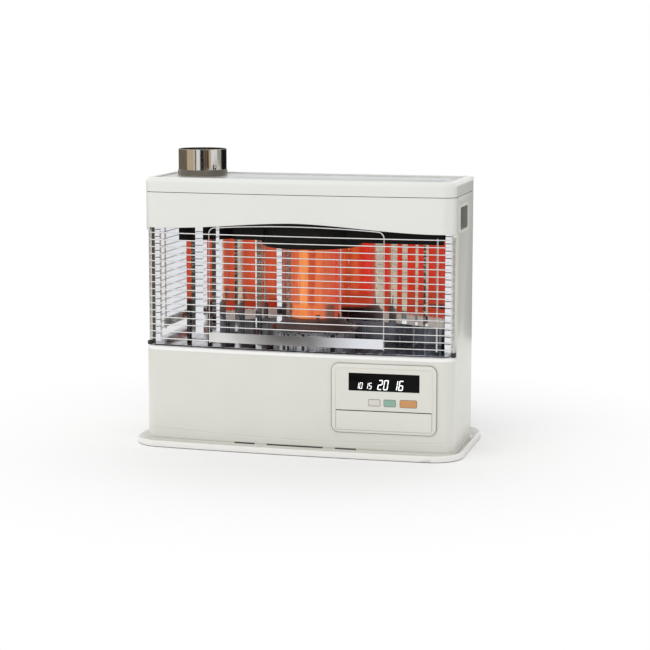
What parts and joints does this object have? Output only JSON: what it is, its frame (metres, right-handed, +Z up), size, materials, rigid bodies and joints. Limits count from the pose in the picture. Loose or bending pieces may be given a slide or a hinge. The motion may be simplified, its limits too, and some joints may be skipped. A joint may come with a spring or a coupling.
{
  "type": "flued oil heater",
  "caption": "White floor-standing oil heater with mirror reflectors round a glass burner, swinging wire guard, tilt-down key door, flue stub and floor tray.",
  "frame": {"origin": "centre of the floor tray's underside, on the floor", "axes": "+X to the right seen from the front, -Y out of the front, +Z up; the flue stub is on the left"},
  "size_m": [0.74, 0.3499, 0.651],
  "materials": {
    "white_enamel": "semi-gloss off-white enamel",
    "white_plastic": "satin moulded plastic",
    "silver_plate": "satin silver coated steel",
    "stainless": "bright stainless steel",
    "mirror": "mirror-polished steel",
    "chrome": "bright plating",
    "black_heatproof": "matt black heat-proof paint",
    "cast_black": "dark cast iron",
    "zinc": "zinc-plated sheet",
    "glass": "heat-proof glass",
    "glow": "glowing orange",
    "black_nylon": "black nylon",
    "black_lens": "glossy black window",
    "key_white": "gloss plastic",
    "key_green": "gloss plastic",
    "key_orange": "gloss plastic",
    "key_grey": "matt rubber",
    "board": "circuit board",
    "black_plastic": "black moulded plastic",
    "brass": "machined brass",
    "copper": "drawn copper",
    "ceramic": "insulator"
  },
  "bodies": {
    "heater": {"floor_tray": "white_enamel", "levelling_feet": "black_plastic", "base_plate": "zinc", "lower_front_panel": "white_enamel", "side_panel_right": "white_enamel", "side_panel_left": "white_enamel", "handle_cup_right": "white_plastic", "handle_cup_left": "white_plastic", "upper_front_panel": "white_enamel", "top_cover": "white_enamel", "top_plate": "silver_plate", "back_panel": "zinc", "rear_cover": "black_plastic", "panel_screws": "zinc", "reflector_right": "mirror", "reflector_left": "mirror", "reflector_back": "mirror", "chamber_floor": "mirror", "chamber_ceiling": "zinc", "burner_pot": "black_heatproof", "pot_shield": "stainless", "burner_ring": "cast_black", "glow_cylinder": "glow", "glow_cap": "glow", "glass_cylinder": "glass", "exchanger_drum": "black_heatproof", "heat_shields": "black_heatproof", "flue_duct": "zinc", "flue_stub": "stainless", "flue_spring_tab": "stainless", "igniter": "ceramic", "flame_sensor": "stainless", "guard_bushings": "black_nylon", "control_bezel": "white_plastic", "display_lens": "black_lens", "display_board": "board", "setting_board": "board", "main_board": "board", "tilt_switch": "black_plastic", "blower_housing": "zinc", "blower_motor": "zinc", "air_duct": "zinc", "fuel_valve": "brass", "fuel_pump": "zinc", "fuel_inlet": "brass", "fuel_pipes": "copper", "room_sensor": "black_plastic", "cord_gland": "black_nylon"},
    "guard": {"guard_wires": "chrome", "guard_frame": "chrome", "guard_band": "chrome"},
    "door": {"control_door": "white_plastic"},
    "key_white": {"button_white": "key_white"},
    "key_green": {"button_green": "key_green"},
    "key_orange": {"button_orange": "key_orange"},
    "set_left": {"setting_key_left": "key_grey"},
    "set_middle": {"setting_key_middle": "key_grey"},
    "set_right": {"setting_key_right": "key_grey"},
    "fan": {"impeller": "zinc"},
    "reset": {"reset_button": "key_orange"}
  },
  "joints": [
    {"name": "guard_swing", "type": "hinge", "parent": "heater", "child": "guard", "pos_m": [-0.3445, -0.094, 0.23], "axis": [0, 0, -1], "range_deg": [0, 90]},
    {"name": "door_flip", "type": "hinge", "parent": "heater", "child": "door", "pos_m": [0.19952, -0.1269, 0.0563], "axis": [0.9991, 0.0422, 0], "range_deg": [0, 95]},
    {"name": "white_press", "type": "slide", "parent": "heater", "child": "key_white", "axis": [-0.0422, 0.9991, 0], "range_m": [0, 0.0015], "stiffness_N_per_m": 300},
    {"name": "green_press", "type": "slide", "parent": "heater", "child": "key_green", "axis": [-0.0422, 0.9991, 0], "range_m": [0, 0.0015], "stiffness_N_per_m": 300},
    {"name": "orange_press", "type": "slide", "parent": "heater", "child": "key_orange", "axis": [-0.0422, 0.9991, 0], "range_m": [0, 0.0015], "stiffness_N_per_m": 300},
    {"name": "set_left_press", "type": "slide", "parent": "heater", "child": "set_left", "axis": [-0.0422, 0.9991, 0], "range_m": [0, 0.0012], "stiffness_N_per_m": 300},
    {"name": "set_middle_press", "type": "slide", "parent": "heater", "child": "set_middle", "axis": [-0.0422, 0.9991, 0], "range_m": [0, 0.0012], "stiffness_N_per_m": 300},
    {"name": "set_right_press", "type": "slide", "parent": "heater", "child": "set_right", "axis": [-0.0422, 0.9991, 0], "range_m": [0, 0.0012], "stiffness_N_per_m": 300},
    {"name": "fan_spin", "type": "hinge", "parent": "heater", "child": "fan", "pos_m": [0.185, 0.075, 0.118], "axis": [0, 1, 0], "continuous": true},
    {"name": "reset_press", "type": "slide", "parent": "heater", "child": "reset", "axis": [0, 0, -1], "range_m": [0, 0.003], "stiffness_N_per_m": 300}
  ]
}
